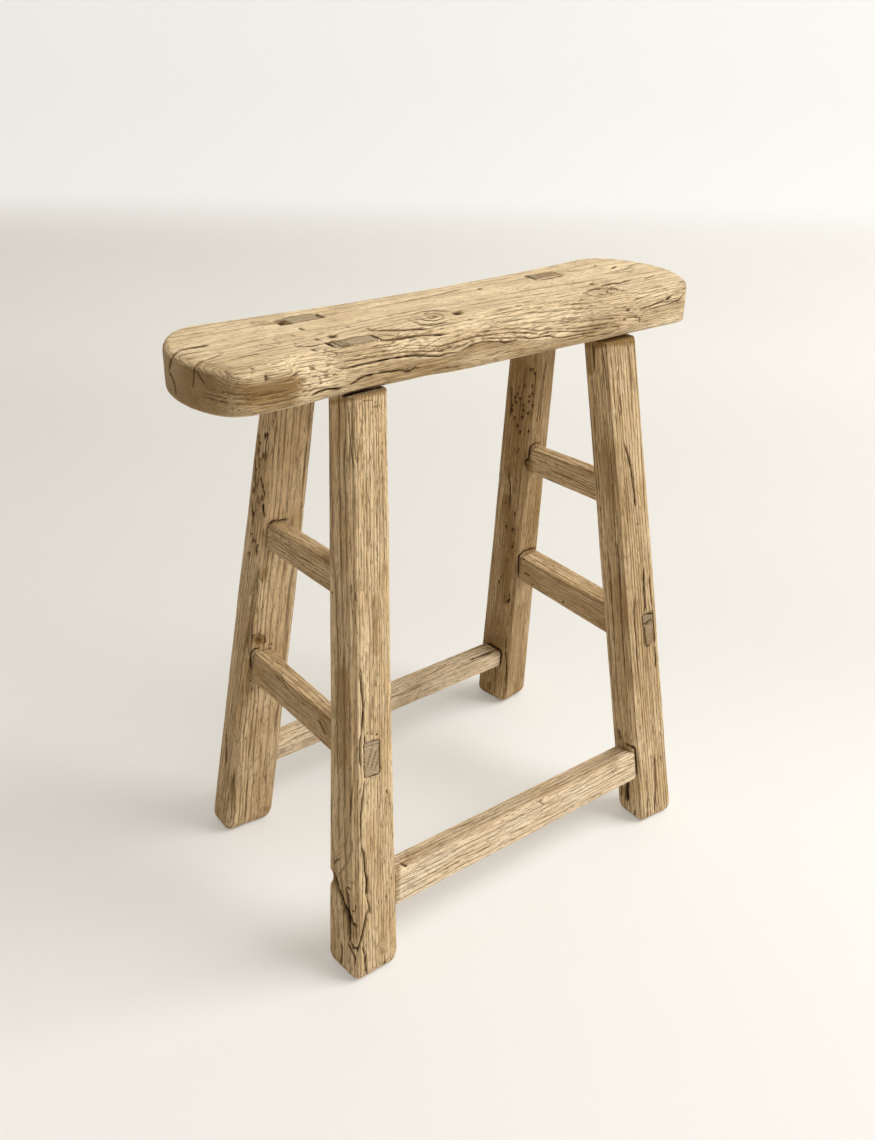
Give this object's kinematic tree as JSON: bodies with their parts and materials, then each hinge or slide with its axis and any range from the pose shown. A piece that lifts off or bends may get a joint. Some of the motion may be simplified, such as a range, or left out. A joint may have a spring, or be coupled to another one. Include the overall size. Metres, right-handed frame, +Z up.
{
  "type": "rustic wooden work stool",
  "caption": "Old elm work stool: a worn plank seat with round ends on splayed square legs, tied by end rails and low long rails, all joined by wedged mortise-and-tenon joints.",
  "frame": {"origin": "on the floor, under the middle of the stool", "axes": "+Z up, +X along the seat to its wider right end, +Y from the front to the back"},
  "size_m": [0.4842, 0.2886, 0.5],
  "materials": {
    "seat_wood": "bare, worn smooth on top, with raised grain and cracks",
    "leg_wood": "bare, weathered, with open grain and brown stains",
    "rail_wood": "bare, weathered",
    "wedge_wood": "bare end grain, dirty"
  },
  "bodies": {
    "root": {"seat_plank": "seat_wood", "leg_front_left": "leg_wood", "seat_wedge_front_left": "wedge_wood", "leg_back_left": "leg_wood", "seat_wedge_back_left": "wedge_wood", "leg_front_right": "leg_wood", "seat_wedge_front_right": "wedge_wood", "leg_back_right": "leg_wood", "seat_wedge_back_right": "wedge_wood", "upper_end_rail_left": "rail_wood", "lower_end_rail_left": "rail_wood", "upper_end_rail_right": "rail_wood", "lower_end_rail_right": "rail_wood", "front_rail": "rail_wood", "rear_rail": "rail_wood", "rail_wedge_left": "wedge_wood", "rail_wedge_right": "wedge_wood"}
  },
  "joints": []
}
